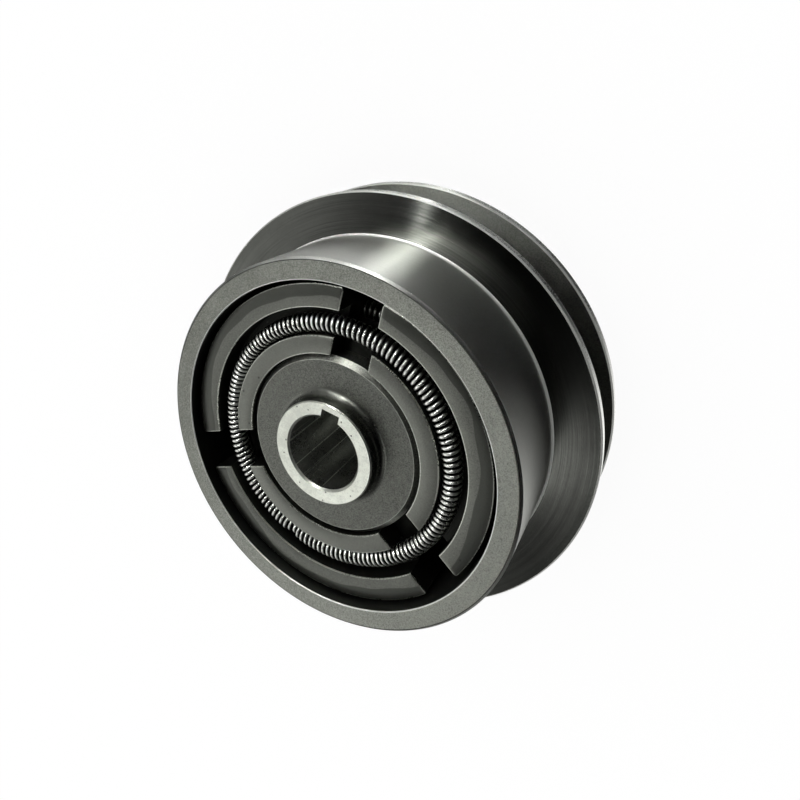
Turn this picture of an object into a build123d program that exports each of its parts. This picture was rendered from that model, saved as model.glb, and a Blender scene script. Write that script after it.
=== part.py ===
from build123d import *
import os
from math import atan2, cos, degrees, pi, radians, sin, sqrt, tan

# Keyed centrifugal clutch with a V-belt pulley, in millimetres.
# The axis is Z, the open front of the drum faces +Z and the back face of the pulley lies on Z = 0.
# The keyway and the first drive lug point along +Y.

# Pulley
pulley_diameter = 119.0
flange_land = 3.0
groove_top_width = 14.8
groove_depth = 12.0
groove_angle = 36.0
flange_edge_break = 0.4
front_flange_slope = 0.8
housing_mouth_chamfer = 0.8

# Drum
drum_wall = 5.5
web_thickness = 5.6
rim_edge_chamfer = 0.4
neck_root_radius = 1.3
cavity_corner_radius = 1.0

# Ball bearing between the pulley and the hub
bearing_outer_diameter = 62.0
bearing_bore = 30.0
bearing_width = 16.0
ball_diameter = 9.525
ball_count = 9
race_shoulder = 2.1
race_conformity = 1.04
ball_play = 0.03
ring_corner_radius = 1.0
housing_shoulder = 4.0
seat_clearance = 0.02

# Bearing seals
seal_thickness = 1.2
seal_recess = 0.2
seal_groove_depth = 0.9
seal_lip_clearance = 0.05

# Bearing cage
cage_side_clearance = 0.3
cage_sheet = 0.7
cage_ball_clearance = 0.1
rivet_diameter = 1.3
rivet_head_diameter = 2.2
rivet_head_height = 0.45
rivet_clearance = 0.02

# Ring that holds the bearing in the pulley
housing_ring_thickness = 2.0
housing_ring_groove_depth = 1.5
housing_ring_band = 3.9
housing_ring_gap_angle = 32.0
housing_ring_ear_radius = 3.0
housing_ring_hole_diameter = 2.5
housing_ring_lip = 1.9

# Ring that holds the bearing on the hub
journal_ring_thickness = 1.5
journal_ring_groove_depth = 0.7
journal_ring_band = 2.9
journal_ring_gap_angle = 36.0
journal_ring_ear_radius = 2.3
journal_ring_hole_diameter = 2.0
ring_groove_play = 0.1

# Hub
hub_back_inset = 0.6
bore_diameter = 19.05
bore_chamfer = 0.5
keyway_width = 4.76
keyway_depth = 2.08
boss_wall = 3.83
boss_height = 4.1
boss_root_radius = 2.0
boss_edge_chamfer = 0.3
core_diameter = 47.0
core_front_depth = 2.7
core_front_chamfer = 1.2
core_back_chamfer = 0.5
hub_shoulder = 4.0
journal_end_chamfer = 0.8
lug_length = 6.9
lug_web_inset = 0.2
lug_edge_chamfer = 0.5

# Shoes
shoe_count = 3
shoe_core_clearance = 0.3
shoe_travel = 1.2
shoe_drum_clearance = 0.05
shoe_front_depth = 2.4
shoe_thickness = 18.0
shoe_floor_clearance = 1.6
shoe_inner_wall = 4.7
shoe_outer_wall = 5.95
slot_width = 10.2
slot_lug_clearance = 0.3
shoe_edge_chamfer = 0.45
shoe_corner_radius = 0.8

# Garter springs
spring_coil_diameter = 4.4
spring_wire_diameter = 1.0
spring_coil_pitch = 1.25
spring_seat_clearance = 0.05
spring_side_room = 2.4
spring_face_inset = 0.2
spring_floor_gap = 1.0
spring_section_sides = 8

# Heights that follow from the sizes above
pulley_width = 2 * flange_land + groove_top_width
bearing_back = housing_ring_lip + housing_ring_thickness + ring_groove_play
bearing_front = bearing_back + bearing_width
bearing_middle = bearing_back + bearing_width / 2
cavity_floor = bearing_front + web_thickness
drum_height = cavity_floor + shoe_floor_clearance + shoe_thickness + shoe_front_depth
shoe_front = drum_height - shoe_front_depth
shoe_back = shoe_front - shoe_thickness
shoe_middle = shoe_front - shoe_thickness / 2
spring_groove_depth = spring_face_inset + spring_coil_diameter + spring_floor_gap
lug_height = shoe_thickness - 2 * spring_groove_depth - 2 * lug_web_inset
core_front = drum_height - core_front_depth
boss_front = core_front + boss_height

# Radii that follow from the sizes above, from the hub out to the drum
core_radius = core_diameter / 2
lug_reach = core_radius + lug_length
shoe_inner_radius = core_radius + shoe_core_clearance
spring_groove_inner_radius = shoe_inner_radius + shoe_inner_wall
spring_groove_outer_radius = spring_groove_inner_radius + spring_coil_diameter + spring_side_room
shoe_outer_radius = spring_groove_outer_radius + shoe_outer_wall
mouth_radius = shoe_outer_radius + shoe_travel + shoe_drum_clearance
drum_radius = mouth_radius + drum_wall
pulley_radius = pulley_diameter / 2
housing_radius = bearing_outer_diameter / 2 + seat_clearance
journal_radius = bearing_bore / 2 - seat_clearance
boss_radius = bore_diameter / 2 + boss_wall
keyway_reach = bore_diameter / 2 + keyway_depth
hub_shoulder_radius = bearing_bore / 2 + hub_shoulder
pitch_radius = (bearing_bore + bearing_outer_diameter) / 4
ball_radius = ball_diameter / 2
race_radius = ball_radius * race_conformity
inner_race_bottom = pitch_radius - ball_radius - ball_play
outer_race_bottom = pitch_radius + ball_radius + ball_play
inner_shoulder_radius = inner_race_bottom + race_shoulder
outer_shoulder_radius = outer_race_bottom - race_shoulder
cage_width = outer_shoulder_radius - inner_shoulder_radius - 2 * cage_side_clearance
spring_ring_radius = spring_groove_inner_radius + spring_seat_clearance + spring_coil_diameter / 2
spring_face_offset = spring_face_inset + spring_coil_diameter / 2


def ring(inner, outer, low, high):
    """A plain ring about Z."""
    height = abs(high - low)
    wall = Cylinder(outer, height) - Cylinder(inner, height)
    return Pos(0, 0, (low + high) / 2) * wall


def disc(radius, low, high):
    """A plain disc about Z."""
    return Pos(0, 0, (low + high) / 2) * Cylinder(radius, high - low)


def turned(points):
    """The solid swept about Z by an outline of (radius, height) points."""
    outline = make_face(Polyline([(r, 0, z) for r, z in points], close=True))
    return revolve(outline, Axis.Z)


def edges_round_axis(shape, radius, height):
    """The circular edges of one radius about Z at one height."""
    found = ShapeList()
    for edge in shape.edges().filter_by(GeomType.CIRCLE):
        centre = edge.arc_center
        on_axis = abs(centre.X) < 1e-4 and abs(centre.Y) < 1e-4
        if on_axis and abs(edge.radius - radius) < 1e-4 and abs(centre.Z - height) < 1e-4:
            found.append(edge)
    return found


def make_drum_pulley():
    half_narrowing = groove_depth * tan(radians(groove_angle / 2))
    groove_low = flange_land
    groove_high = flange_land + groove_top_width
    groove_radius = pulley_radius - groove_depth
    flange_front = pulley_width + front_flange_slope
    web_radius = housing_radius - housing_shoulder
    body = turned([
        (web_radius, 0),
        (pulley_radius, 0),
        (pulley_radius, groove_low),
        (groove_radius, groove_low + half_narrowing),
        (groove_radius, groove_high - half_narrowing),
        (pulley_radius, groove_high),
        (pulley_radius, pulley_width),
        (drum_radius, flange_front),
        (drum_radius, drum_height),
        (mouth_radius, drum_height),
        (mouth_radius, cavity_floor),
        (web_radius, cavity_floor),
    ])
    body = fillet(edges_round_axis(body, drum_radius, flange_front), neck_root_radius)
    body = fillet(edges_round_axis(body, mouth_radius, cavity_floor), cavity_corner_radius)
    body = chamfer(edges_round_axis(body, drum_radius, drum_height), rim_edge_chamfer)
    for height in (0, groove_low, groove_high, pulley_width):
        body = chamfer(edges_round_axis(body, pulley_radius, height), flange_edge_break)
    body -= disc(housing_radius, 0, bearing_front)
    body = chamfer(edges_round_axis(body, housing_radius, 0), housing_mouth_chamfer)
    groove_reach = housing_radius + housing_ring_groove_depth
    body -= disc(groove_reach, housing_ring_lip, bearing_back)
    return body


def make_hub():
    body = turned([
        (0, hub_back_inset),
        (journal_radius, hub_back_inset),
        (journal_radius, bearing_front),
        (hub_shoulder_radius, bearing_front),
        (hub_shoulder_radius, shoe_back),
        (core_radius, shoe_back),
        (core_radius, core_front),
        (boss_radius, core_front),
        (boss_radius, boss_front),
        (0, boss_front),
    ])
    body = fillet(edges_round_axis(body, boss_radius, core_front), boss_root_radius)
    body = chamfer(edges_round_axis(body, boss_radius, boss_front), boss_edge_chamfer)
    body = chamfer(edges_round_axis(body, core_radius, core_front), core_front_chamfer)
    body = chamfer(edges_round_axis(body, core_radius, shoe_back), core_back_chamfer)
    body = chamfer(edges_round_axis(body, journal_radius, hub_back_inset), journal_end_chamfer)
    body += make_lugs()
    ring_back = bearing_back - journal_ring_thickness - ring_groove_play
    groove_floor = journal_radius - journal_ring_groove_depth
    body -= ring(groove_floor, journal_radius + 1, ring_back, bearing_back)
    bore = disc(bore_diameter / 2, hub_back_inset, boss_front)
    for height, way in ((hub_back_inset, 1), (boss_front, -1)):
        mouth = bore_diameter / 2 + bore_chamfer
        bore += turned([(0, height), (mouth, height), (0, height + way * mouth)])
    keyway_middle = (hub_back_inset + boss_front) / 2
    keyway = Box(keyway_width, 2 * keyway_reach, boss_front - hub_back_inset)
    keyway = split(Pos(0, 0, keyway_middle) * keyway, Plane.XZ.offset(0), keep=Keep.BOTTOM)
    return body - bore - keyway


def make_lugs():
    width = slot_width - 2 * slot_lug_clearance
    lugs = Part()
    for number in range(shoe_count):
        turn = 360 / shoe_count * number
        length = 2 * (lug_reach - core_radius / 2)
        block = Pos(0, core_radius / 2 + length / 2, shoe_middle) * Box(width, length, lug_height)
        lug = block & disc(lug_reach, shoe_middle - lug_height, shoe_middle + lug_height)
        far_edges = lug.edges().filter_by(lambda edge: edge.center().Y > core_radius + 1)
        lug = chamfer(far_edges.filter_by(GeomType.CIRCLE), lug_edge_chamfer)
        lugs += Rot(0, 0, turn) * lug
    return lugs


def make_shoe(number):
    """The shoe between lug number and the next one, counted anticlockwise from +Y."""
    body = ring(shoe_inner_radius, shoe_outer_radius, shoe_back, shoe_front)
    for low in (shoe_front - spring_groove_depth, shoe_back):
        high = low + spring_groove_depth
        body -= ring(spring_groove_inner_radius, spring_groove_outer_radius, low, high)
    reach = 2 * shoe_outer_radius
    for way, turn in ((1, 0), (-1, 360 / shoe_count)):
        beyond = Box(reach, 2 * reach, 2 * shoe_thickness)
        body -= Rot(0, 0, turn) * Pos(way * (reach - slot_width) / 2, 0, shoe_middle) * beyond
    ends = body.edges().filter_by(Axis.Z)
    outer_ends = ends.filter_by(lambda edge: abs(radius_of(edge) - shoe_outer_radius) < 1e-3)
    body = fillet(outer_ends, shoe_corner_radius)
    faces = body.faces().filter_by(Axis.Z)
    half_thickness = shoe_thickness / 2
    rims = faces.filter_by(lambda face: abs(abs(face.center().Z - shoe_middle) - half_thickness) < 1e-3)
    body = chamfer(rims.edges(), shoe_edge_chamfer)
    return Rot(0, 0, 360 / shoe_count * number) * body


def radius_of(edge):
    middle = edge.center()
    return sqrt(middle.X ** 2 + middle.Y ** 2)


def make_garter_spring(height):
    """An endless coil spring: one ridge for each turn of the wire, round a ring about Z."""
    turns = round(2 * pi * spring_ring_radius / spring_coil_pitch)
    ridge = spring_coil_diameter / 2
    valley = ridge - spring_wire_diameter / 2
    halves = []
    for first in (0, turns):
        sections = []
        for step in range(first, first + turns + 1):
            radius = ridge if step % 2 else valley
            sections.append(spring_section(pi * step / turns, height, radius))
        halves.append(loft(sections, ruled=True))
    return halves[0] + halves[1]


def spring_section(angle, height, radius):
    outward = Vector(cos(angle), sin(angle), 0)
    along = Vector(-sin(angle), cos(angle), 0)
    centre = outward * spring_ring_radius + Vector(0, 0, height)
    across = Plane(origin=centre, x_dir=outward, z_dir=along)
    half_side = 180 / spring_section_sides
    return across * RegularPolygon(radius, spring_section_sides, rotation=half_side)


def make_bearing_outer_ring():
    body = ring(outer_shoulder_radius, bearing_outer_diameter / 2, bearing_back, bearing_front)
    for height in (bearing_back, bearing_front):
        body = fillet(edges_round_axis(body, bearing_outer_diameter / 2, height), ring_corner_radius)
    race = Torus(outer_race_bottom - race_radius, race_radius)
    body -= Pos(0, 0, bearing_middle) * race
    for low, high in seal_heights(0):
        body -= ring(0.5 * outer_shoulder_radius, outer_shoulder_radius + seal_groove_depth, low, high)
    return body


def make_bearing_inner_ring():
    body = ring(bearing_bore / 2, inner_shoulder_radius, bearing_back, bearing_front)
    for height in (bearing_back, bearing_front):
        body = fillet(edges_round_axis(body, bearing_bore / 2, height), ring_corner_radius)
    race = Torus(inner_race_bottom + race_radius, race_radius)
    body -= Pos(0, 0, bearing_middle) * race
    for low, high in seal_heights(seal_lip_clearance):
        body -= ring(inner_shoulder_radius - seal_groove_depth, 2 * inner_shoulder_radius, low, high)
    return body


def seal_heights(extra):
    """From the ring's face to the far side of each seal, back seal first."""
    depth = seal_recess + seal_thickness + extra
    return (bearing_back, bearing_back + depth), (bearing_front - depth, bearing_front)


def make_seal(low):
    inner = inner_shoulder_radius - seal_groove_depth + seal_lip_clearance
    outer = outer_shoulder_radius + seal_groove_depth - seat_clearance
    return ring(inner, outer, low, low + seal_thickness)


def round_pitch(shape, offset):
    """One copy of the shape for each ball, set on the pitch circle."""
    copies = []
    for number in range(ball_count):
        angle = 360 / ball_count * (number + offset)
        copies.append(Rot(0, 0, angle) * Pos(pitch_radius, 0, bearing_middle) * shape)
    return copies


def make_bearing_balls():
    return Compound(round_pitch(Sphere(ball_radius), 0))


def make_cage_half(way):
    """A ring of sheet bent round the balls, on the front or back side of the bearing's middle."""
    pocket_radius = ball_radius + cage_ball_clearance
    bend_radius = pocket_radius + cage_sheet
    across = Rot(0, 90, 0)
    inner = pitch_radius - cage_width / 2
    outer = pitch_radius + cage_width / 2
    body = ring(inner, outer, bearing_middle, bearing_middle + way * cage_sheet)
    body += round_pitch(across * Cylinder(bend_radius, 2 * cage_width), 0)
    body &= ring(inner, outer, bearing_middle, bearing_middle + way * bend_radius)
    body -= round_pitch(across * Cylinder(pocket_radius, 2 * cage_width), 0)
    body -= round_pitch(Cylinder(rivet_diameter / 2 + rivet_clearance, 4 * cage_sheet), 0.5)
    return body


def make_cage_rivets():
    rivet = Cylinder(rivet_diameter / 2, 2 * cage_sheet)
    for way in (1, -1):
        head = Cylinder(rivet_head_diameter / 2, rivet_head_height)
        rivet += Pos(0, 0, way * (cage_sheet + rivet_head_height / 2)) * head
    return Compound(round_pitch(rivet, 0.5))


def retaining_ring(inner, outer, ear_centre, ear_radius, hole_diameter, gap_angle, low, high):
    """A split flat ring with a holed ear on each side of its gap, which faces -Y."""
    flat = Circle(outer) - Circle(inner)
    half_gap = radians(gap_angle / 2)
    reach = 2 * outer
    half_width = reach * tan(half_gap)
    flat -= make_face(Polyline((0, 0), (-half_width, -reach), (half_width, -reach), close=True))
    ear_angle = degrees(atan2(ear_radius, ear_centre)) + gap_angle / 2
    for way in (1, -1):
        place = Rot(0, 0, way * ear_angle) * Pos(0, -ear_centre)
        flat += place * Circle(ear_radius)
        flat -= place * Circle(hole_diameter / 2)
    return Pos(0, 0, low) * extrude(flat, high - low)


def make_housing_ring():
    outer = housing_radius + housing_ring_groove_depth - ring_groove_play
    inner = outer - housing_ring_band
    back = bearing_back - housing_ring_thickness
    return retaining_ring(
        inner, outer, inner, housing_ring_ear_radius, housing_ring_hole_diameter,
        housing_ring_gap_angle, back, bearing_back,
    )


def make_journal_ring():
    inner = journal_radius - journal_ring_groove_depth + ring_groove_play
    outer = inner + journal_ring_band
    back = bearing_back - journal_ring_thickness
    return retaining_ring(
        inner, outer, outer, journal_ring_ear_radius, journal_ring_hole_diameter,
        journal_ring_gap_angle, back, bearing_back,
    )


def make_parts():
    parts = {
        "drum_pulley": make_drum_pulley(),
        "hub": make_hub(),
        "front_garter_spring": make_garter_spring(shoe_front - spring_face_offset),
        "rear_garter_spring": make_garter_spring(shoe_back + spring_face_offset),
        "bearing_outer_ring": make_bearing_outer_ring(),
        "bearing_inner_ring": make_bearing_inner_ring(),
        "bearing_balls": make_bearing_balls(),
        "bearing_cage_front": make_cage_half(1),
        "bearing_cage_rear": make_cage_half(-1),
        "bearing_cage_rivets": make_cage_rivets(),
        "bearing_seal_rear": make_seal(bearing_back + seal_recess),
        "bearing_seal_front": make_seal(bearing_front - seal_recess - seal_thickness),
        "housing_retaining_ring": make_housing_ring(),
        "journal_retaining_ring": make_journal_ring(),
    }
    for number in range(shoe_count):
        parts[f"shoe_{number + 1}"] = make_shoe(number)
    return parts


os.makedirs("parts", exist_ok=True)
for name, shape in make_parts().items():
    export_step(shape, f"parts/{name}.step")
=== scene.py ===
import bpy, bmesh
from math import atan2, ceil, cos, degrees, hypot, pi, radians, sin, sqrt
from mathutils import Matrix, Vector


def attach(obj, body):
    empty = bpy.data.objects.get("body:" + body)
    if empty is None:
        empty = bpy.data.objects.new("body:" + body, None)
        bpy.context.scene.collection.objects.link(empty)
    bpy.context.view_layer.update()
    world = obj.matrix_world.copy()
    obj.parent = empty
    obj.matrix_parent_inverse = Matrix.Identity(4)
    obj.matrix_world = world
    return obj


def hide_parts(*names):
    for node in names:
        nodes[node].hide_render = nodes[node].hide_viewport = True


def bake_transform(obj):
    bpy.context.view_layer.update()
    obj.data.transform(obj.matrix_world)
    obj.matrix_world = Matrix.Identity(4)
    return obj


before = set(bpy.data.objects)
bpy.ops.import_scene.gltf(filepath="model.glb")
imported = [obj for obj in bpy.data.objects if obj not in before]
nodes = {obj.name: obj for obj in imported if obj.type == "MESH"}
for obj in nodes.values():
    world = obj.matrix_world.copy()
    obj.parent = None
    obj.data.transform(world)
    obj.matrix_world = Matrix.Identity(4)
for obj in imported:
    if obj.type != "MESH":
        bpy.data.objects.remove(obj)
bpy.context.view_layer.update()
mm = 0.001
print("frame loaded:", len(nodes), "nodes")


class Wire:
    # one socket; sums on it add Math nodes to its tree
    def __init__(self, tree, socket):
        self.tree = tree
        self.socket = socket

    def maths(self, operation, *values):
        return self.tree.node("ShaderNodeMath", {"operation": operation}, dict(enumerate(values)))

    def __add__(self, other):
        return self.maths("ADD", self, other)

    def __radd__(self, other):
        return self.maths("ADD", other, self)

    def __sub__(self, other):
        return self.maths("SUBTRACT", self, other)

    def __rsub__(self, other):
        return self.maths("SUBTRACT", other, self)

    def __mul__(self, other):
        return self.maths("MULTIPLY", self, other)

    def __rmul__(self, other):
        return self.maths("MULTIPLY", other, self)

    def __truediv__(self, other):
        return self.maths("DIVIDE", self, other)

    def __rtruediv__(self, other):
        return self.maths("DIVIDE", other, self)

    def __gt__(self, other):
        return self.maths("GREATER_THAN", self, other)

    def root(self):
        return self.maths("SQRT", self)

    def exponent(self):
        return self.maths("EXPONENT", self)

    def sine(self):
        return self.maths("SINE", self)

    def cosine(self):
        return self.maths("COSINE", self)

    def upTo(self, high):
        return self.maths("MINIMUM", self, high)

    def downTo(self, low):
        return self.maths("MAXIMUM", self, low)

    def ramp(self, start, end, low=0.0, high=1.0):
        # smooth step from low at start to high at end
        return self.tree.node("ShaderNodeMapRange", {"interpolation_type": "SMOOTHSTEP"},
                              {"Value": self, "From Min": start, "From Max": end, "To Min": low, "To Max": high})

    def beside(self, output):
        # another output of the node that this one comes from
        return Wire(self.tree, self.socket.node.outputs[output])


class Tree:
    def __init__(self, tree):
        self.tree = tree

    def node(self, kind, settings=None, inputs=None, output=0):
        made = self.tree.nodes.new(kind)
        for name, value in (settings or {}).items():
            setattr(made, name, value)
        for name, value in (inputs or {}).items():
            if isinstance(value, Wire):
                self.tree.links.new(value.socket, made.inputs[name])
            else:
                made.inputs[name].default_value = value
        return Wire(self, made.outputs[output]) if made.outputs else made

    def noise(self, place, scale, detail=2.0, roughness=0.5):
        return self.node("ShaderNodeTexNoise", {},
                         {"Vector": place, "Scale": scale, "Detail": detail, "Roughness": roughness}, "Fac")

    def blendColour(self, share, first, second):
        return self.node("ShaderNodeMix", {"data_type": "RGBA"}, {0: share, 6: first, 7: second}, 2)

    def vector(self, x, y, z):
        return self.node("ShaderNodeCombineXYZ", {}, {0: x, 1: y, 2: z})

    def vectorMaths(self, operation, *values):
        return self.node("ShaderNodeVectorMath", {"operation": operation}, dict(enumerate(values)))

    def along(self, direction, axis):
        return self.vectorMaths("DOT_PRODUCT", direction, axis).beside("Value")


def grey(value, warm=0.0):
    # the photographed metal leans a little to green
    return (value * (0.965 + warm), value, value * (0.90 - warm), 1.0)


def bright(value, green=0.0):
    # the same for bare bright metal, nearer to white
    return (value * (0.985 - green), value, value * (0.955 - 2 * green), 1.0)


# what a finish has unless its own entry says otherwise; scales per metre, depths in micrometres
plainLook = {
    "metallic": 1.0, "bump": 0.5, "oneWay": 0.0, "wearAndHighlight": 0.7,
    # paintedSideLight is painted light: the colour is made lighter towards +X, as if the light fell from that side
    "paintedSideLight": 0.0,  # lighter towards +X
    "cloud": 0.25, "cloudScale": 110.0, "roughCloud": 0.12,
    "grain": 0.35, "grainScale": 2600.0, "roughGrain": 0.10, "grainDepth": 6.0,
    "rings": 0.0, "lineStep": 0.4, "ringDepth": 0.0,  # lineStep in millimetres
}
# what all the finishes share; each noise is its detail and roughness
pattern = {
    "middle": 0.5, "axisClear": 0.0001, "micron": 0.000001, "ringBreak": 1.4, "roughest": 0.95, "smoothest": 0.08,
    "cloudNoise": (4.0, 0.6), "grainNoise": (3.0, 0.65), "ringNoise": (3.0, 0.7), "softNoise": (1.0, 0.4),
    "pit": {"floor": 0.45, "share": 0.93, "depth": 60.0, "colour": grey(0.01)},
    "speckEdge": 0.06, "rimShadowPolish": 0.06,
    "scratch": {"edge": 0.03, "full": 0.04, "gone": 0.08, "share": 0.8, "colour": grey(0.85)},
    # paintedTurnShade: the colour of the painted shade between the spring's turns
    "paintedTurnShade": grey(0.02),
    # wornAndLit: edges rubbed bright, as wear and as painted highlight along the edges
    "wornAndLit": {"level": 0.6, "patches": 0.9, "polish": 0.12, "dull": 0.3, "colour": grey(0.80)},
    "grindTurn": 0.25,
}


def metalFinish(name, look):
    look = {**plainLook, **look}
    middle = pattern["middle"]
    material = bpy.data.materials.new(name)
    material.use_nodes = True
    material.node_tree.nodes.clear()
    tree = Tree(material.node_tree)
    place = tree.node("ShaderNodeTexCoord", output="Object")
    x = tree.node("ShaderNodeSeparateXYZ", {}, {0: place})
    y, z = x.beside("Y"), x.beside("Z")
    radius = (x * x + y * y).root().downTo(pattern["axisClear"])
    sideX, sideY = x / radius, y / radius

    cloud = tree.noise(place, look["cloudScale"], *pattern["cloudNoise"]) - middle
    grain = tree.noise(place, look["grainScale"], *pattern["grainNoise"]) - middle
    # turning marks: fine rings round the axis, broken up a little along their length
    ringPlace = tree.vector(sideX * pattern["ringBreak"], sideY * pattern["ringBreak"],
                            (radius + z) * (1.0 / (look["lineStep"] * mm)))
    rings = tree.noise(ringPlace, 1.0, *pattern["ringNoise"]) - middle

    shade = cloud * look["cloud"] + grain * look["grain"]
    # the sideX term is painted light: lighter towards +X
    shade = shade + rings * look["rings"] + sideX * look["paintedSideLight"] + middle
    colour = tree.blendColour(shade.upTo(1.0).downTo(0.0), look["dark"], look["light"])
    roughness = look["roughness"] + cloud * look["roughCloud"] + grain * look["roughGrain"]
    height = grain * look["grainDepth"] + rings * look["ringDepth"]

    if "pits" in look:
        # scattered small pores in the machined face
        given, pit = look["pits"], pattern["pit"]
        cell = tree.node("ShaderNodeTexVoronoi", {}, {"Vector": place, "Scale": given["scale"]}, "Distance")
        chosen = tree.node("ShaderNodeSeparateColor", {}, {0: cell.beside("Color")})
        hole = cell.ramp(given["size"], given["size"] * pit["floor"]) * (chosen > 1.0 - given["share"])
        colour = tree.blendColour(hole * pit["share"], colour, pit["colour"])
        height = height - hole * pit["depth"]
    if "specks" in look:
        given = look["specks"]
        speck = tree.noise(place, given["scale"]).ramp(given["level"], given["level"] + pattern["speckEdge"])
        colour = tree.blendColour(speck * given["strength"], colour, look["dark"])
    if "paintedRimShadow" in look:
        # painted shadow of the rim: a darker, smoother band towards the outside, with a wandering border, and a paler
        # inner edge
        paintedRimShadow = look["paintedRimShadow"]
        border = (tree.noise(place, paintedRimShadow["scale"], *pattern["softNoise"]) - middle) * paintedRimShadow["wander"]
        shadowedByRim = (radius * (1.0 / mm) + border).ramp(paintedRimShadow["from"] - paintedRimShadow["soft"], paintedRimShadow["from"] + paintedRimShadow["soft"])
        colour = tree.blendColour(shadowedByRim * paintedRimShadow["strength"], colour, paintedRimShadow["colour"])
        paleStart, paleFull, paleShare = paintedRimShadow["pale"]
        colour = tree.blendColour((radius * (1.0 / mm)).ramp(paleStart, paleFull) * paleShare, colour, look["light"])
        roughness = roughness - shadowedByRim * pattern["rimShadowPolish"]
    if "scratches" in look:
        # thin marks along the axis
        given, mark = look["scratches"], pattern["scratch"]
        level = given["level"]
        markPlace = tree.vector(sideX * given["count"], sideY * given["count"], z * given["drift"])
        side = tree.noise(markPlace, 1.0, *pattern["softNoise"])
        thin = side.ramp(level, level + mark["edge"]) * side.ramp(level + mark["gone"], level + mark["full"])
        colour = tree.blendColour(thin * mark["share"], colour, mark["colour"])
    if "paintedTurnShadeBy" in look:
        # painted shade on the wire wherever it does not face out of the coil, between the turns
        paintedTurnShade = tree.node("ShaderNodeAttribute", {"attribute_name": look["paintedTurnShadeBy"]}, output="Fac")
        colour = tree.blendColour(paintedTurnShade, colour, pattern["paintedTurnShade"])

    # rubbed bright in patches along the edges: wear, and painted highlight on the edges
    rubAndLight = pattern["wornAndLit"]
    wornAndLit = tree.node("ShaderNodeAttribute", {"attribute_name": "edgeWearAndHighlight"}, output="Fac")
    wornAndLit = (wornAndLit * (rubAndLight["level"] + grain * rubAndLight["patches"] + cloud * rubAndLight["patches"])).upTo(1.0).downTo(0.0)
    colour = tree.blendColour(wornAndLit * look["wearAndHighlight"], colour, rubAndLight["colour"])
    roughness = (roughness - wornAndLit * rubAndLight["polish"]).downTo(pattern["smoothest"]).upTo(pattern["roughest"])
    metallic = look["metallic"]
    if metallic and look["wearAndHighlight"]:
        metallic = metallic * (1.0 - wornAndLit * rubAndLight["dull"])

    bump = tree.node("ShaderNodeBump", {},
                     {"Strength": look["bump"], "Distance": pattern["micron"], "Height": height})
    shader = tree.node("ShaderNodeBsdfPrincipled", {}, {
        "Base Color": colour, "Metallic": metallic, "Roughness": roughness, "Normal": bump,
        "Anisotropic": look["oneWay"], "Anisotropic Rotation": pattern["grindTurn"]})
    tree.node("ShaderNodeOutputMaterial", {}, {"Surface": shader})
    return material


def addObject(name, data):
    made = bpy.data.objects.new(name, data)
    bpy.context.scene.collection.objects.link(made)
    return made


def meshFrom(name, work):
    mesh = bpy.data.meshes.new(name)
    work.to_mesh(mesh)
    work.free()
    return mesh


def joinRings(work, low, high):
    # one band of faces between two closed rows of vertices
    following = low[1:] + low[:1], high[1:] + high[:1]
    return [work.faces.new((a, b, c, d)) for a, b, c, d in zip(low, following[0], following[1], high)]


# corners sharper than these, in degrees, are rubbed bright, as wear and painted highlight, or stay sharp; the bright
# band's width in millimetres
corners = {"wornAndLit": 20, "sharp": 28, "band": 0.16, "shortest": 0.35, "mostShare": 0.3}


def fineSection(section):
    # section: (radius, height, finish of the band that starts here), all the way round
    # adds a loop beside each corner, so that the wear and the painted highlight stay near the edge
    fine = []
    count = len(section)
    for i, (r, z, finish) in enumerate(section):
        before, after = section[i - 1], section[(i + 1) % count]
        one, two = (r - before[0], z - before[1]), (after[0] - r, after[1] - z)
        turn = degrees(atan2(one[0] * two[1] - one[1] * two[0], one[0] * two[0] + one[1] * two[1]))
        fine.append((r, z, finish, 1.0 if turn > corners["wornAndLit"] else 0.0))
        length = hypot(*two)
        if length > corners["shortest"]:
            near = min(corners["band"] / length, corners["mostShare"])
            for share in (near, 1 - near):
                fine.append((r + two[0] * share, z + two[1] * share, finish, 0.0))
    return fine


def arc(centre, radius, start, end, count):
    # points (radius, height) of a fillet; angles in degrees, 0 outwards and 90 up
    turns = [radians(start + (end - start) * i / count) for i in range(count + 1)]
    return [(centre[0] + radius * cos(a), centre[1] + radius * sin(a)) for a in turns]


def spunMesh(name, section, steps):
    work = bmesh.new()
    wearAndHighlight = work.verts.layers.float.new("edgeWearAndHighlight")
    rings = []
    for r, z, _, wornAndLit in section:
        ring = []
        for i in range(steps):
            a = 2 * pi * i / steps
            vertex = work.verts.new((r * cos(a) * mm, r * sin(a) * mm, z * mm))
            vertex[wearAndHighlight] = wornAndLit
            ring.append(vertex)
        rings.append(ring)
    for low, high, (_, _, finish, _) in zip(rings, rings[1:] + rings[:1], section):
        for face in joinRings(work, low, high):
            face.material_index = finish
    bmesh.ops.recalc_face_normals(work, faces=work.faces)
    return meshFrom(name, work)


def finishMesh(name, mesh, body, replaced, materials):
    for material in materials:
        mesh.materials.append(material)
    mesh.polygons.foreach_set("use_smooth", [True] * len(mesh.polygons))
    mesh.set_sharp_from_angle(angle=radians(corners["sharp"]))
    piece = addObject(name, mesh)
    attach(piece, body)
    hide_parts(replaced)


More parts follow.
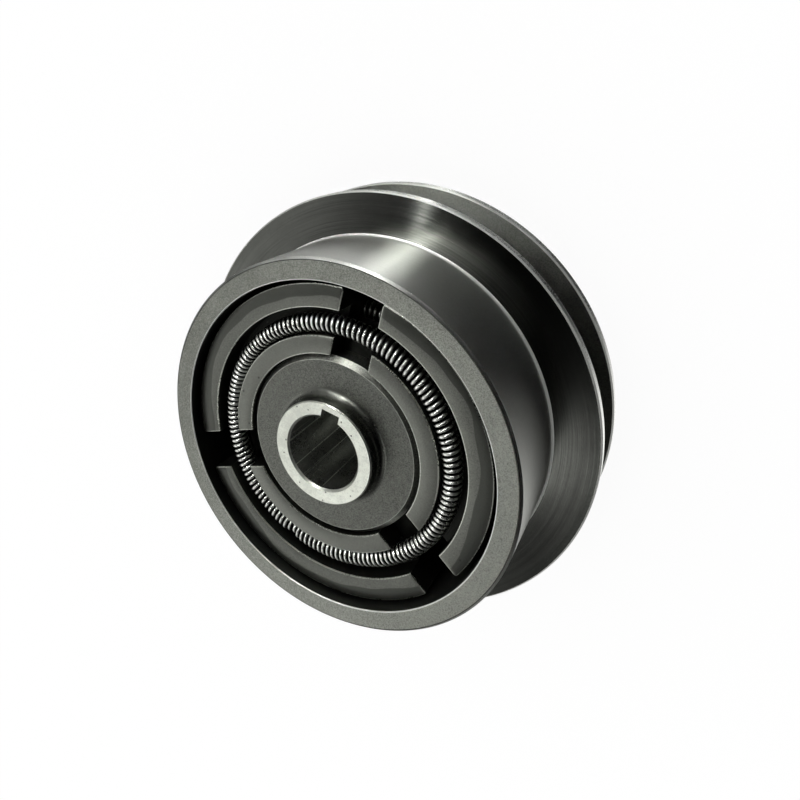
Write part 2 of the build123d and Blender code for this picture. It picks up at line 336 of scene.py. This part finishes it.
# drum and pulley, one casting; sizes in millimetres
pulley = {
    "steps": 288, "rim": 59.5, "neck": 48.0, "mouth": 42.5, "height": 47.6, "width": 20.8, "frontSlope": 0.8,
    "edgeBreak": 0.4, "slopeRise": 0.07, "rimBreak": 0.55, "rimSeam": 0.22, "mouthBreak": 0.25, "mouthSteps": 5,
    "rootFillet": 0.6, "rootSteps": 8, "cavityFloor": 25.6, "cavityFillet": 1.0, "cavitySteps": 6,
    "grooveFloor": 47.5, "grooveWall": (6.899, 13.901), "flangeLand": 3.0, "grooveTop": 17.8,
    "grooveSide": (0.951, 0.309),  # the groove wall's slope: cosine and sine of 18 degrees
    "webHole": 27.02, "seat": 31.02, "seatTop": 20.0, "seatBreak": 0.8, "clipGroove": (1.9, 4.0, 32.52),
}
pulleyLook = {
    "back": {"dark": grey(0.24), "light": grey(0.42), "roughness": 0.34, "cloud": 0.4, "grain": 0.4,
             "grainDepth": 3.0, "rings": 0.9, "lineStep": 0.5, "ringDepth": 6.0, "bump": 0.6, "oneWay": 0.6},
    "cavity": {"dark": grey(0.04), "light": grey(0.09), "roughness": 0.50, "cloud": 0.5, "grain": 0.5, "wearAndHighlight": 0.0},
    "cut": {"dark": bright(0.60), "light": bright(0.92), "roughness": 0.28, "cloud": 0.5, "grain": 0.5,
            "grainDepth": 2.0, "rings": 0.4, "bump": 0.4},
    "flange": {"dark": bright(0.08, 0.015), "light": bright(0.24, 0.015), "roughness": 0.12, "cloud": 0.30,
               "roughCloud": 0.03, "grain": 0.5, "roughGrain": 0.03, "grainDepth": 0.6, "rings": 1.6,
               "lineStep": 0.22, "ringDepth": 1.0, "oneWay": 0.95},
    "groove": {"dark": grey(0.03), "light": grey(0.15), "roughness": 0.46, "cloud": 0.3, "grain": 1.5,
               "grainDepth": 12.0, "rings": 0.2, "ringDepth": 3.0, "bump": 0.8},
    "neck": {"dark": bright(0.46), "light": bright(0.64), "roughness": 0.41, "cloud": 0.4, "grain": 0.8,
             "roughGrain": 0.05, "grainDepth": 3.0, "rings": 0.3, "lineStep": 0.5, "ringDepth": 2.0, "oneWay": 0.3},
    # rimFace carries painted light, lighter towards +X
    "rimFace": {"dark": grey(0.16), "light": grey(0.50), "roughness": 0.48, "cloud": 0.5, "grain": 2.4,
                "grainScale": 3600.0, "grainDepth": 16.0, "bump": 0.8, "paintedSideLight": 0.22, "wearAndHighlight": 0.9,
                "specks": {"scale": 900.0, "level": 0.66, "strength": 0.5}},
    "edge": {"dark": bright(0.70), "light": bright(0.96), "roughness": 0.42, "cloud": 0.7, "grain": 0.7,
             "grainDepth": 2.0, "bump": 0.4, "metallic": 0.8},
    "rimEdge": {"dark": bright(0.34), "light": bright(1.0), "roughness": 0.34, "cloud": 0.3, "grain": 0.5,
                "grainDepth": 2.0, "rings": 3.0, "lineStep": 0.30, "ringDepth": 4.0, "wearAndHighlight": 0.0},
}


def pulleySection(p):
    back, cavity, cut, flange, groove, neck, rimFace, edge, rimEdge = range(len(pulleyLook))
    b, h, rim, seat = p["edgeBreak"], p["height"], p["rim"], p["seat"]
    clipLow, clipHigh, clipReach = p["clipGroove"]
    wallLow, wallHigh = p["grooveWall"]
    inward, rise = p["grooveSide"]
    section = [
        (p["webHole"], p["seatTop"], cavity), (seat, p["seatTop"], cavity), (seat, clipHigh, back),
        (clipReach, clipHigh, back), (clipReach, clipLow, back), (seat, clipLow, back),
        (seat, p["seatBreak"], cut), (seat + p["seatBreak"], 0.0, back),
        (rim - b, 0.0, edge), (rim, b, cut), (rim, p["flangeLand"] - b, edge),
        (rim - inward * b, p["flangeLand"] + rise * b, groove),
        (p["grooveFloor"], wallLow, groove), (p["grooveFloor"], wallHigh, groove),
        (rim - inward * b, p["grooveTop"] - rise * b, edge), (rim, p["grooveTop"] + b, cut),
        (rim, p["width"] - b, edge), (rim - b, p["width"] + p["slopeRise"] * b, flange),
    ]
    # the root fillet starts square to the sloping flange face
    tilt = atan2(p["frontSlope"], rim - p["neck"])
    fillet = p["rootFillet"]
    centre = (p["neck"] + fillet, p["width"] + p["frontSlope"] + fillet * (1 - sin(tilt)) / cos(tilt))
    root = arc(centre, fillet, -90 - degrees(tilt), -180, p["rootSteps"])
    section += [(r, z, edge) for r, z in root[:-1]] + [(*root[-1], neck)]
    section += [(p["neck"], h - p["rimBreak"], rimEdge), (p["neck"] - p["rimBreak"], h, cavity),
                (p["neck"] - p["rimBreak"] - p["rimSeam"], h, rimFace)]
    lip = p["mouthBreak"]
    mouth = arc((p["mouth"] + lip, h - lip), lip, 90, 180, p["mouthSteps"])
    section += [(r, z, edge) for r, z in mouth[:-1]] + [(p["mouth"], h - lip, cavity)]
    fillet = p["cavityFillet"]
    floor = arc((p["mouth"] - fillet, p["cavityFloor"] + fillet), fillet, 0, -90, p["cavitySteps"])
    section += [(r, z, cavity) for r, z in floor] + [(p["webHole"], p["cavityFloor"], cavity)]
    return section


finishMesh("drumPulley", spunMesh("drumPulley", fineSection(pulleySection(pulley)), pulley["steps"]),
           "pulley", "drum_pulley", [metalFinish(name + "Iron", look) for name, look in pulleyLook.items()])
print("drum and pulley turned")

# the slots between the shoes, the first in line with the keyway; degrees
slots = {"count": 3, "first": 90.0}
slotPitch = 360.0 / slots["count"]

# keyed hub with its boss; the bore and its keyway are one outline
hub = {
    "steps": 240, "back": 0.6, "front": 49.0, "bore": 9.525, "boreBreak": 0.5, "boreWearAndHighlight": 0.6,
    "keyHalf": 2.38, "keyReach": 11.605, "keySteps": 6, "slack": 0.01,
    "journal": 14.98, "journalBreak": 0.8, "journalTop": 20.0, "clipGroove": (2.4, 4.0, 0.7), "shoulder": 19.0,
    "core": 23.5, "coreBack": 27.2, "coreBackBreak": 0.5, "discHeight": 44.9, "coreBreak": 1.2,
    "boss": 13.355, "bossBreak": 0.3, "rootFillet": 2.0, "rootSteps": 10,
    # rubAndLight here is painted light on the core's bevel, brightest in each slot's middle and fading under the shoes
    "rubAndLight": {"peak": 1.1, "fall": 0.09, "reach": 12.5},  # on the bevel, by degrees from a slot's middle
}
hubLook = {
    "disc": {"dark": grey(0.07), "light": grey(0.27), "roughness": 0.48, "cloud": 0.4, "cloudScale": 520.0,
             "grain": 2.4, "grainScale": 3600.0, "grainDepth": 14.0, "bump": 0.8, "wearAndHighlight": 0.85},
    "bossSide": {"dark": grey(0.10), "light": grey(0.18), "roughness": 0.28, "cloud": 0.3, "grain": 0.3,
                 "rings": 0.5, "ringDepth": 3.0},
    # bossFace carries painted light, lighter towards +X
    "bossFace": {"dark": grey(0.66), "light": grey(1.0), "roughness": 0.42, "paintedSideLight": 0.35, "cloud": 1.6,
                 "cloudScale": 420.0, "grain": 1.6, "grainDepth": 8.0, "rings": 0.2, "bump": 0.6, "wearAndHighlight": 0.2,
                 "pits": {"scale": 600.0, "size": 0.18, "share": 0.6},
                 "specks": {"scale": 1500.0, "level": 0.60, "strength": 0.45}},
    "bore": {"dark": grey(0.01), "light": grey(0.035), "roughness": 0.32, "cloud": 0.6, "grain": 0.2,
             "grainDepth": 2.0, "scratches": {"count": 9.0, "drift": 6.0, "level": 0.66}},
    "keyway": {"dark": grey(0.04), "light": grey(0.09), "roughness": 0.5},
    "chamfer": {"dark": grey(0.34), "light": grey(0.60), "roughness": 0.34, "cloud": 0.8, "grain": 0.6,
                "grainDepth": 1.5},
}
# the lugs are near black: painted shade, deep between the shoes
lugLook = {"dark": grey(0.015), "light": grey(0.045), "roughness": 0.5, "wearAndHighlight": 0.3}


def hubSection(p):
    disc, bossSide, bossFace, bore, keyway, chamfer = range(len(hubLook))
    journal, core, broken = p["journal"], p["core"], p["journalBreak"]
    clipLow, clipHigh, clipDepth = p["clipGroove"]
    mouth = p["bore"] + p["boreBreak"]
    outer = [
        (mouth, p["back"], bossSide), (journal - broken, p["back"], chamfer), (journal, p["back"] + broken, bossSide),
        (journal, clipLow, bossSide), (journal - clipDepth, clipLow, bossSide),
        (journal - clipDepth, clipHigh, bossSide), (journal, clipHigh, bossSide),
        (journal, p["journalTop"], bossSide), (p["shoulder"], p["journalTop"], disc),
        (p["shoulder"], p["coreBack"], disc), (core - p["coreBackBreak"], p["coreBack"], chamfer),
        (core, p["coreBack"] + p["coreBackBreak"], disc), (core, p["discHeight"] - p["coreBreak"], disc),
        (core - p["coreBreak"], p["discHeight"], disc),
    ]
    fillet = p["rootFillet"]
    root = arc((p["boss"] + fillet, p["discHeight"] + fillet), fillet, -90, -180, p["rootSteps"])
    outer += [(r, z, bossSide) for r, z in root]
    outer += [(p["boss"], p["front"] - p["bossBreak"], chamfer), (p["boss"] - p["bossBreak"], p["front"], bossFace)]
    inner = [(mouth, p["front"], chamfer), (p["bore"], p["front"] - p["boreBreak"], bore),
             (p["bore"], p["back"] + p["boreBreak"], chamfer)]
    # the last two points close the outer outline on itself, and the bore takes their place
    return fineSection(outer)[:-2] + [(r, z, finish, p["boreWearAndHighlight"]) for r, z, finish in inner]


def keyedMesh(name, section, p):
    # stations round the axis: the keyway's edges and floor, then even steps
    half, reach, keySteps = p["keyHalf"], p["keyReach"], p["keySteps"]
    edgeTurn = atan2(sqrt(p["bore"] ** 2 - half ** 2), half)
    cornerTurn = atan2(reach, half)
    floorTurns = [cornerTurn + (pi - 2 * cornerTurn) * i / keySteps for i in range(keySteps + 1)]
    rest = [pi - edgeTurn + (pi + 2 * edgeTurn) * i / p["steps"] for i in range(1, p["steps"])]
    turns = [edgeTurn] + floorTurns + [pi - edgeTurn] + rest
    keyEnd = keySteps + 2
    keyway = list(hubLook).index("keyway")
    boreReach = p["bore"] + p["boreBreak"] + p["slack"]
    bevel = p["coreBreak"] + p["slack"]
    rubAndLight = p["rubAndLight"]
    work = bmesh.new()
    wearAndHighlight = work.verts.layers.float.new("edgeWearAndHighlight")
    rings = []
    for r, z, _, wornAndLit in section:
        onBevel = r > p["core"] - bevel and z > p["discHeight"] - bevel
        ring = []
        for i, a in enumerate(turns):
            x, y = r * cos(a), r * sin(a)
            if r < boreReach and i in (0, keyEnd):
                x, y = half if i == 0 else -half, sqrt(r * r - half * half)
            elif r < boreReach and i < keyEnd:
                x, y = reach / sin(a) * cos(a), reach
            vertex = work.verts.new((x * mm, y * mm, z * mm))
            # painted light: the bevel is brightened where the slots between the shoes leave it open, on top of its
            # edge wear
            fromSlot = abs((degrees(a) - slots["first"] + slotPitch / 2) % slotPitch - slotPitch / 2)
            slotLit = onBevel and fromSlot < rubAndLight["reach"]
            vertex[wearAndHighlight] = max(wornAndLit, rubAndLight["peak"] - rubAndLight["fall"] * fromSlot) if slotLit else wornAndLit
            ring.append(vertex)
        rings.append(ring)
    following = section[1:] + section[:1]
    for low, high, (r, _, finish, _), after in zip(rings, rings[1:] + rings[:1], section, following):
        inBore = r < boreReach and after[0] < boreReach
        for k, face in enumerate(joinRings(work, low, high)):
            face.material_index = keyway if inBore and k < keyEnd else finish
    bmesh.ops.recalc_face_normals(work, faces=work.faces)
    return meshFrom(name, work)


finishMesh("hubBody", keyedMesh("hubBody", hubSection(hub), hub), "hub", "hub",
           [metalFinish(name + "Steel", look) for name, look in hubLook.items()])

# drive lugs between the shoes
lug = {"half": 4.8, "start": 21.0, "reach": 30.4, "low": 33.0, "high": 39.4, "edgeBreak": 0.3, "steps": 10,
       "sharp": 1.0}


def lugMesh(p):
    work = bmesh.new()
    for number in range(slots["count"]):
        outline = [(-p["half"], p["start"]), (p["half"], p["start"])]
        for i in range(p["steps"] + 1):
            x = p["half"] - 2 * p["half"] * i / p["steps"]
            outline.append((x, sqrt(p["reach"] ** 2 - x * x)))
        low, high = ([work.verts.new((x * mm, y * mm, z * mm)) for x, y in outline] for z in (p["low"], p["high"]))
        work.faces.new(low[::-1])
        work.faces.new(high)
        joinRings(work, low, high)
        spin = Matrix.Rotation(2 * pi / slots["count"] * number, 3, "Z")
        bmesh.ops.rotate(work, cent=(0, 0, 0), matrix=spin, verts=low + high)
    bmesh.ops.recalc_face_normals(work, faces=work.faces)
    rims = [e for e in work.edges if e.is_manifold and e.calc_face_angle() > p["sharp"]]
    bmesh.ops.bevel(work, geom=rims, offset=p["edgeBreak"] * mm, segments=2, profile=0.5, affect="EDGES",
                    clamp_overlap=True)
    return meshFrom("hubLugs", work)


finishMesh("hubLugs", lugMesh(lug), "hub", "hub", [metalFinish("lugSteel", lugLook)])
print("hub turned")

# shoes: an H section swept between two flat ends; near and tall are metres
shoe = {
    "inner": 23.8, "outer": 41.25, "grooveInner": 28.5, "grooveOuter": 35.3, "low": 27.2, "high": 45.2,
    "grooveDepth": 5.6, "slotHalf": 5.1, "edgeBreak": 0.28, "cornerRadius": 0.8, "cornerSteps": 4, "steps": 64,
    "near": 1e-6, "tall": 0.01, "sharp": 0.5, "flat": 0.999, "steep": 0.2,
}
shoeLook = {
    "face": {"dark": grey(0.10), "light": grey(0.25), "roughness": 0.42, "cloud": 0.5, "grain": 1.8,
             "grainScale": 3600.0, "grainDepth": 9.0, "bump": 0.7,
             # paintedRimShadow: painted shadow of the rim on the outer part of the shoe faces
             "paintedRimShadow": {"from": 38.4, "wander": 6.0, "scale": 55.0, "soft": 0.15, "strength": 0.85,
                      "colour": grey(0.075), "pale": (33.0, 30.0, 0.25)},
             "pits": {"scale": 260.0, "size": 0.10, "share": 0.3}},
    # wall is near black: painted shade on the shoes' walls, ends and grooves
    "wall": {"dark": grey(0.02), "light": grey(0.05), "roughness": 0.5},
    "edge": {"dark": grey(0.28), "light": grey(0.70), "roughness": 0.28, "cloud": 0.9, "grain": 0.8},
}


def shoeMesh(number, p):
    low, high, deep, near = p["low"], p["high"], p["grooveDepth"], p["near"]
    section = [
        (p["inner"], low), (p["grooveInner"], low), (p["grooveInner"], low + deep), (p["grooveOuter"], low + deep),
        (p["grooveOuter"], low), (p["outer"], low), (p["outer"], high), (p["grooveOuter"], high),
        (p["grooveOuter"], high - deep), (p["grooveInner"], high - deep), (p["grooveInner"], high), (p["inner"], high),
    ]
    start = pi / 2 + 2 * pi / slots["count"] * number
    work = bmesh.new()
    rows = []
    for step in range(p["steps"] + 1):
        row = []
        for r, z in section:
            inset = atan2(p["slotHalf"], sqrt(r * r - p["slotHalf"] ** 2))
            span = 2 * pi / slots["count"] - 2 * inset
            a = start + inset + span * step / p["steps"]
            row.append(work.verts.new((r * cos(a) * mm, r * sin(a) * mm, z * mm)))
        rows.append(row)
    for one, two in zip(rows, rows[1:]):
        joinRings(work, one, two)
    work.faces.new(rows[0])
    work.faces.new(rows[-1])
    bmesh.ops.recalc_face_normals(work, faces=work.faces)
    reach = p["outer"] * mm
    upright = [e for e in work.edges if abs(e.verts[0].co.z - e.verts[1].co.z) > p["tall"]
               and all(abs(v.co.xy.length - reach) < near for v in e.verts) and e.calc_face_angle() > p["sharp"]]
    bmesh.ops.bevel(work, geom=upright, offset=p["cornerRadius"] * mm, segments=p["cornerSteps"], profile=0.5,
                    affect="EDGES")

    def onFace(item):
        return any(all(abs(v.co.z - z * mm) < near for v in item.verts) for z in (low, high))

    rims = [e for e in work.edges if onFace(e) and sum(onFace(f) for f in e.link_faces) == 1]
    bmesh.ops.bevel(work, geom=rims, offset=p["edgeBreak"] * mm, segments=2, profile=0.5, affect="EDGES",
                    clamp_overlap=True)
    work.normal_update()
    face, wall, edge = range(len(shoeLook))
    for made in work.faces:
        slant = abs(made.normal.z)
        onTop = slant > p["flat"] and onFace(made)
        made.material_index = face if onTop else edge if p["steep"] < slant < p["flat"] else wall
    bmesh.ops.triangulate(work, faces=[f for f in work.faces if len(f.verts) > 4])
    return meshFrom(f"shoe{number + 1}", work)


shoeMetal = [metalFinish(name + "Shoe", look) for name, look in shoeLook.items()]
for number in range(slots["count"]):
    node = f"shoe_{number + 1}"
    finishMesh(f"shoe{number + 1}", shoeMesh(number, shoe), node, node, shoeMetal)
print("shoes made")

# garter springs: one coil that runs round the shoes, made by a node tree in two lengths for each slot
spring = {
    "ring": 30.95, "coil": 2.4, "wire": 0.5, "turns": 141, "perTurn": 20, "sides": 12, "slotTurn": 9.55,
    "heights": {"front": 42.8, "rear": 29.6}, "joint": 259.7, "jointWidth": 2.6, "jointDip": 0.4,
    "drift": ((5.0, 0.7, 0.22), (13.0, 0.0, 0.10)),  # waves round the ring, phase, turns out of step
    # paintedTurnShade: painted shade on the wire, by how squarely it faces out of the coil
    "paintedTurnShade": (0.92, 0.45),  # none and all, by how squarely the wire faces out of the coil
}
springLook = {"dark": bright(0.80), "light": bright(1.0), "roughness": 0.28, "cloud": 0.5, "grain": 0.3,
              "grainDepth": 0.5, "bump": 0.3, "paintedTurnShadeBy": "paintedTurnShadeMask", "wearAndHighlight": 0.0}


def springTree(material, p):
    group = bpy.data.node_groups.new("garterCoil", "GeometryNodeTree")
    sockets = {}
    group.interface.new_socket("Coil", in_out="OUTPUT", socket_type="NodeSocketGeometry")
    for kind, names in {"Float": ("ringRadius", "coilRadius", "wireRadius", "turns", "height", "startTurn",
                                  "spanTurn", "joint", "jointWidth", "jointDip"),
                        "Int": ("points", "sides")}.items():
        for name in names:
            made = group.interface.new_socket(name, in_out="INPUT", socket_type="NodeSocket" + kind)
            sockets[name] = made.identifier
    tree = Tree(group)
    given = group.nodes.new("NodeGroupInput")
    size = {socket.name: Wire(tree, socket) for socket in given.outputs if socket.name}
    line = tree.node("GeometryNodeCurvePrimitiveLine")
    line = tree.node("GeometryNodeResampleCurve", {}, {"Curve": line, "Count": size["points"]})
    share = tree.node("GeometryNodeSplineParameter", output="Factor")
    turn = size["startTurn"] + share * size["spanTurn"]
    # the pitch drifts slightly, as on a spring that has been stretched by hand over the shoes
    wander = 0.0
    for waves, phase, turnsOff in p["drift"]:
        wander = (turn * waves + phase).sine() * turnsOff + wander
    coil = (turn * size["turns"] + wander) * -1.0
    # the ends are screwed together where the coil necks in
    off = (turn - size["joint"]) / size["jointWidth"]
    width = size["coilRadius"] * (1.0 - size["jointDip"] * (off * off * -1.0).exponent())
    reach = size["ringRadius"] + width * coil.cosine()
    place = tree.vector(reach * turn.cosine(), reach * turn.sine(), size["height"] + width * coil.sine())
    line = tree.node("GeometryNodeSetPosition", {}, {"Geometry": line, "Position": place})
    ring = tree.node("GeometryNodeCurvePrimitiveCircle", {"mode": "RADIUS"},
                     {"Resolution": size["sides"], "Radius": size["wireRadius"]})
    wire = tree.node("GeometryNodeCurveToMesh", {}, {"Curve": line, "Profile Curve": ring, "Fill Caps": True})
    wire = tree.node("GeometryNodeRealizeInstances", {}, {"Geometry": wire})
    # painted shade between the turns: dark wherever the wire does not face away from the coil's centre line
    spot = tree.node("GeometryNodeInputPosition")
    ringward = tree.vectorMaths("NORMALIZE", tree.vectorMaths("MULTIPLY", spot, (1, 1, 0)))
    centre = tree.node("ShaderNodeVectorMath", {"operation": "SCALE"}, {0: ringward, "Scale": size["ringRadius"]})
    centre = tree.vectorMaths("ADD", centre, tree.vector(0.0, 0.0, size["height"]))
    outward = tree.vectorMaths("NORMALIZE", tree.vectorMaths("SUBTRACT", spot, centre))
    facing = tree.along(tree.node("GeometryNodeInputNormal"), outward)
    wire = tree.node("GeometryNodeStoreNamedAttribute", {"data_type": "FLOAT", "domain": "POINT"},
                     {"Geometry": wire, "Name": "paintedTurnShadeMask", "Value": facing.ramp(*p["paintedTurnShade"])})
    wire = tree.node("GeometryNodeSetMaterial", {}, {"Geometry": wire, "Material": material})
    tree.node("NodeGroupOutput", {}, {0: wire})
    return group, sockets


coilTree, coilSockets = springTree(metalFinish("springWire", springLook), spring)


def coilMesh(p, height, start, span):
    holder = addObject("holder", bpy.data.meshes.new("holder"))
    modifier = holder.modifiers.new("coil", "NODES")
    modifier.node_group = coilTree
    sizes = {"ringRadius": p["ring"] * mm, "coilRadius": (p["coil"] - p["wire"]) * mm, "wireRadius": p["wire"] * mm,
             "turns": float(p["turns"]), "height": height * mm, "startTurn": radians(start), "spanTurn": radians(span),
             "joint": radians(p["joint"]), "jointWidth": radians(p["jointWidth"]), "jointDip": p["jointDip"],
             "points": ceil(p["turns"] * span / 360 * p["perTurn"]) + 1, "sides": p["sides"]}
    for name, value in sizes.items():
        modifier[coilSockets[name]] = value
    mesh = bpy.data.meshes.new_from_object(holder.evaluated_get(bpy.context.evaluated_depsgraph_get()))
    bpy.data.objects.remove(holder)
    mesh.polygons.foreach_set("use_smooth", [True] * len(mesh.polygons))
    return mesh


for side, height in spring["heights"].items():
    for slotNumber in range(slots["count"]):
        middle = slots["first"] + slotPitch * slotNumber
        # one length runs on from the slot's middle to half way over the next shoe, the other comes up to it
        for letter, way in (("a", 1), ("b", -1)):
            start = middle if way == 1 else middle - slotPitch / 2
            shoeNumber = slotNumber + 1 if way == 1 else (slotNumber - 1) % slots["count"] + 1
            piece = addObject(f"{side}Spring{shoeNumber}{letter}", coilMesh(spring, height, start, slotPitch / 2))
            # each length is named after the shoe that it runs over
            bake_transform(piece)
            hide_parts(f"{side}_garter_spring")
print("springs wound")

# the bearing and its rings keep their solids, with better materials
bearingLook = {
    "ring": {"dark": grey(0.50, 0.02), "light": grey(0.72, 0.02), "roughness": 0.22, "cloud": 0.3, "grain": 0.2,
             "grainDepth": 1.0, "rings": 0.6, "lineStep": 0.3, "ringDepth": 2.0, "oneWay": 0.4},
    "ball": {"dark": grey(0.62, 0.02), "light": grey(0.74, 0.02), "roughness": 0.10, "cloud": 0.2, "grain": 0.1,
             "grainDepth": 0.5},
    "cage": {"dark": grey(0.34), "light": grey(0.52), "roughness": 0.38, "cloud": 0.5, "grain": 0.5,
             "grainDepth": 4.0},
    "seal": {"dark": grey(0.012), "light": grey(0.03), "roughness": 0.60, "cloud": 0.4, "grain": 0.6,
             "grainDepth": 8.0, "metallic": 0.0},
    "clip": {"dark": grey(0.05), "light": grey(0.12), "roughness": 0.45, "cloud": 0.5, "grain": 0.6,
             "grainDepth": 4.0},
}
bearingNodes = {
    "ring": ("bearing_outer_ring", "bearing_inner_ring"), "ball": ("bearing_balls",),
    "cage": ("bearing_cage_front", "bearing_cage_rear", "bearing_cage_rivets"),
    "seal": ("bearing_seal_front", "bearing_seal_rear"), "clip": ("housing_retaining_ring", "journal_retaining_ring"),
}
for name, look in bearingLook.items():
    metal = metalFinish(name + "Bearing", look)
    for node in bearingNodes[name]:
        nodes[node].data.materials.clear()
        nodes[node].data.materials.append(metal)
print("bearing dressed")

# the light that the metal mirrors
studio = {
    "plain": 1.0, "room": 0.17, "tint": (1, 1, 0.98, 1),
    # black cards: direction, where the dark starts and where it is full, as cosines from that direction
    "cards": [((0.583, 0.272, 0.766), 0.05, 0.45), ((0.663, 0.557, -0.500), 0.35, 0.75)],
    # soft boxes: direction, half width in radians, strength
    "boxes": [
        ((-0.42, 0.60, 0.68), 0.21, 0.30), ((-0.31, -0.88, 0.37), 0.21, 1.0), ((-0.59, 0.37, -0.72), 0.18, 0.95),
        ((-0.86, -0.27, 0.43), 0.21, 1.12), ((0.27, -0.58, 0.77), 0.21, 0.15), ((0.84, -0.14, -0.52), 0.21, 0.55),
        ((-0.54, -0.64, 0.54), 0.21, 0.54), ((0.54, -0.22, -0.81), 0.21, 0.22), ((-0.60, -0.14, 0.79), 0.12, 0.37),
        ((0.20, 0.64, 0.74), 0.21, 0.20), ((-0.02, -0.52, 0.854), 0.050, 3.8), ((0.33, -0.33, -0.885), 0.15, 1.1),
        ((-0.40, -0.62, 0.67), 0.16, 0.60), ((-0.80, 0.55, 0.22), 0.20, 0.5), ((-0.45, 0.83, 0.33), 0.18, 0.7),
        ((0.0, 0.35, -0.94), 0.15, 0.22), ((-0.17, 0.41, 0.895), 0.11, 1.6), ((-0.46, 0.19, 0.87), 0.10, 1.5),
        ((0.38, -0.47, 0.80), 0.09, 0.8), ((0.45, -0.55, -0.70), 0.20, 0.8),
    ],
    # one narrow strip light in the plane x = place; its strength along the strip as boxes again
    "strip": {"place": -0.338, "width": 0.012, "boxes": [
        ((-0.35, 0.54, 0.77), 0.14, 90.0), ((-0.35, 0.74, 0.57), 0.14, 45.0), ((-0.35, 0.32, 0.88), 0.14, 55.0),
        ((-0.35, 0.93, 0.10), 0.40, 13.0), ((-0.35, 0.60, -0.72), 0.20, 20.0), ((-0.34, -0.28, 0.90), 0.20, 2.4)]},
}


def makeWorld(p):
    world = bpy.data.worlds.new("studio")
    bpy.context.scene.world = world
    world.use_nodes = True
    world.node_tree.nodes.clear()
    world.cycles.sampling_method = "NONE"
    tree = Tree(world.node_tree)
    direction = tree.node("ShaderNodeTexCoord", output="Generated")

    def boxLight(place, width, strength):
        nearness = (tree.along(direction, Vector(place).normalized()) - 1.0) * (1.0 / width ** 2)
        return nearness.exponent() * strength

    level = p["room"]
    for place, start, full in p["cards"]:
        level = tree.along(direction, Vector(place)).ramp(start, full, 1.0, 0.0) * level
    for box in p["boxes"]:
        level = level + boxLight(*box)
    strip = p["strip"]
    glow = 0.0
    for box in strip["boxes"]:
        glow = boxLight(*box) + glow
    across = (tree.along(direction, Vector((1, 0, 0))) - strip["place"]) * (1.0 / strip["width"])
    level = level + (across * across * -1.0).exponent() * glow

    # matt surfaces get plain white light, mirroring ones the studio, and the camera sees white
    camera = tree.node("ShaderNodeLightPath", output="Is Camera Ray")
    mirror = (camera.beside("Is Glossy Ray") + camera.beside("Is Transmission Ray")).upTo(1.0)
    plain = tree.node("ShaderNodeBackground", {}, {"Color": (1, 1, 1, 1), "Strength": p["plain"]})
    seen = tree.node("ShaderNodeBackground", {}, {"Color": (1, 1, 1, 1), "Strength": 1.0})
    mirrored = tree.node("ShaderNodeBackground", {}, {"Color": p["tint"], "Strength": level})
    shader = tree.node("ShaderNodeMixShader", {}, {0: mirror, 1: plain, 2: mirrored})
    shader = tree.node("ShaderNodeMixShader", {}, {0: camera, 1: shader, 2: seen})
    tree.node("ShaderNodeOutputWorld", {}, {"Surface": shader})


makeWorld(studio)

# floor, in metres; whiteShare is how much of it the camera sees as plain white over its shadow
ground = {"half": 3.0, "drop": 0.0002, "whiteShare": 0.9}


def makeFloor(p):
    work = bmesh.new()
    bmesh.ops.create_grid(work, x_segments=1, y_segments=1, size=p["half"])
    bmesh.ops.translate(work, verts=work.verts, vec=(0, 0, -p["drop"]))
    floor = addObject("floor", meshFrom("floor", work))
    material = bpy.data.materials.new("floorWhite")
    material.use_nodes = True
    material.node_tree.nodes.clear()
    tree = Tree(material.node_tree)
    camera = tree.node("ShaderNodeLightPath", output="Is Camera Ray")
    behind = tree.node("ShaderNodeNewGeometry", output="Backfacing")
    matt = tree.node("ShaderNodeBsdfDiffuse", {}, {"Color": (1, 1, 1, 1)})
    white = tree.node("ShaderNodeEmission", {}, {"Color": (1, 1, 1, 1), "Strength": 1.0})
    clear = tree.node("ShaderNodeBsdfTransparent")
    shader = tree.node("ShaderNodeMixShader", {}, {0: camera * p["whiteShare"], 1: matt, 2: white})
    # clear from below, so that the back of the pulley can be looked at
    shader = tree.node("ShaderNodeMixShader", {}, {0: behind, 1: shader, 2: clear})
    tree.node("ShaderNodeOutputMaterial", {}, {"Surface": shader})
    floor.data.materials.append(material)
    # the metal mirrors the studio right through the floor, and the world lights it from below too
    floor.visible_glossy = False
    floor.visible_shadow = False


makeFloor(ground)

# camera: place and aim in millimetres, roll in degrees, clip in metres
view = {"place": (54.04, 97.87, 165.38), "aim": (-15.01, 37.19, 15.84), "roll": -114.557, "lens": 29.021,
        "sensor": 36.0, "shiftX": 0.0438, "shiftY": -0.175, "clip": (0.005, 20.0)}


def makeCamera(p):
    data = bpy.data.cameras.new("camera")
    camera = addObject("camera", data)
    data.lens, data.sensor_width = p["lens"], p["sensor"]
    data.shift_x, data.shift_y = p["shiftX"], p["shiftY"]
    data.clip_start, data.clip_end = p["clip"]
    place, aim = Vector(p["place"]) * mm, Vector(p["aim"]) * mm
    forward = (aim - place).normalized()
    level = forward.cross(Vector((0, 0, 1))).normalized()
    upright = level.cross(forward)
    turn = radians(p["roll"])
    up = upright * cos(turn) - level * sin(turn)
    right = forward.cross(up)
    camera.matrix_world = Matrix((
        (right.x, up.x, -forward.x, place.x), (right.y, up.y, -forward.y, place.y),
        (right.z, up.z, -forward.z, place.z), (0, 0, 0, 1)))
    bpy.context.scene.camera = camera


makeCamera(view)
bpy.context.scene.view_settings.view_transform = "Standard"
print("stage, light and camera set")
